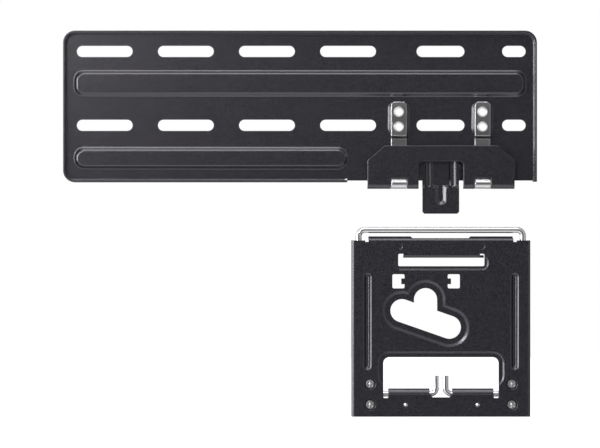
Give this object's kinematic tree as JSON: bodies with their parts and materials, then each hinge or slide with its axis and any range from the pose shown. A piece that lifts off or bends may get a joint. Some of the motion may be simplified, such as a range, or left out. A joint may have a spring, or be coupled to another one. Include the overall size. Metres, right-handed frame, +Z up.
{
  "type": "tv mount",
  "caption": "Low-profile wall mount for a flat television: slotted wall plate with a hinged latch flap and tongue, and a television bracket with a fold-out wire stand.",
  "frame": {"origin": "middle of the wall plate's back face, which lies against the wall", "axes": "+Z up, +X to the right seen from the room, +Y into the wall, so the room is on the -Y side"},
  "size_m": [0.379, 0.0104, 0.3086],
  "materials": {
    "black_coat": "fine-textured satin powder coat",
    "plated_steel": "zinc-plated sheet",
    "rivet_steel": "pressed rivet heads",
    "bright_wire": "polished plated wire"
  },
  "bodies": {
    "plates": {"wall_plate": "black_coat", "tv_plate": "black_coat", "hinge_leaf_left": "plated_steel", "hinge_leaf_right": "plated_steel", "hinge_pin_left": "plated_steel", "hinge_pin_right": "plated_steel", "leaf_rivet_left_upper": "plated_steel", "leaf_rivet_left_lower": "plated_steel", "leaf_rivet_right_upper": "plated_steel", "leaf_rivet_right_lower": "plated_steel", "wire_saddle_left": "plated_steel", "wire_saddle_right": "plated_steel", "saddle_rivet_left_upper": "rivet_steel", "saddle_rivet_left_lower": "rivet_steel", "saddle_rivet_right_upper": "rivet_steel", "saddle_rivet_right_lower": "rivet_steel"},
    "flap": {"latch_flap": "black_coat"},
    "stand": {"wire_stand": "bright_wire"}
  },
  "joints": [
    {"name": "flap_hinge", "type": "hinge", "parent": "plates", "child": "flap", "pos_m": [0.1126, -0.00618, -0.0618], "axis": [1, 0, 0], "range_deg": [0, 90]},
    {"name": "stand_hinge", "type": "hinge", "parent": "plates", "child": "stand", "pos_m": [0.1126, -0.00463, -0.23], "axis": [-1, 0, 0], "range_deg": [0, 90]}
  ]
}
